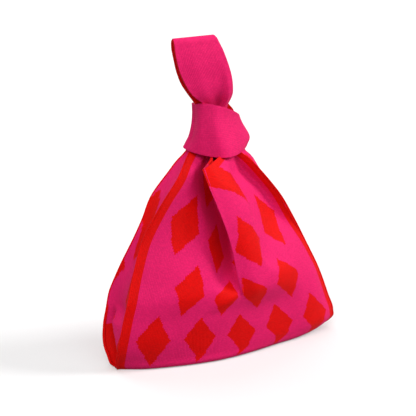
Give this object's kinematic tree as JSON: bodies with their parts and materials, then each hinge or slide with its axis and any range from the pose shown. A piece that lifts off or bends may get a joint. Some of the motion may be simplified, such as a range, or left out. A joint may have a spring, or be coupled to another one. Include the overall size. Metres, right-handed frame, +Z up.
{
  "type": "knot bag",
  "caption": "Soft knit wrist bag with a boat-shaped base, folded gussets and a pleated front; the loop of its long handle passes up through the short handle, which wraps the neck as a knot.",
  "frame": {"origin": "centre of the base on the floor it stands on", "axes": "+Z up, +X to the right seen from the front, the front with the pleat faces -Y"},
  "size_m": [0.2748, 0.1099, 0.3347],
  "materials": {
    "knit_pink": "matte double-faced knit, pink outside",
    "knit_red": "matte double-faced knit, red face"
  },
  "bodies": {
    "bag": {"front_panel": "knit_pink", "back_panel": "knit_pink", "base_panel": "knit_red", "left_gusset": "knit_pink", "right_gusset": "knit_pink", "front_left_seam": "knit_red", "front_right_seam": "knit_red", "back_left_seam": "knit_red", "back_right_seam": "knit_red", "base_front_seam": "knit_red", "base_back_seam": "knit_red", "short_handle": "knit_pink"},
    "handle_legs": {"long_handle_front_leg": "knit_pink", "long_handle_back_leg": "knit_pink"},
    "handle_loop": {"long_handle_loop": "knit_pink", "long_handle_join_seam": "knit_red"}
  },
  "joints": [
    {"name": "handle_pull", "type": "slide", "parent": "bag", "child": "handle_legs", "axis": [0, 0, 1], "range_m": [0, 0.02]},
    {"name": "handle_flop", "type": "hinge", "parent": "handle_legs", "child": "handle_loop", "pos_m": [-0.017, 0, 0.2695], "axis": [1, 0, 0], "range_deg": [-60, 60]}
  ]
}
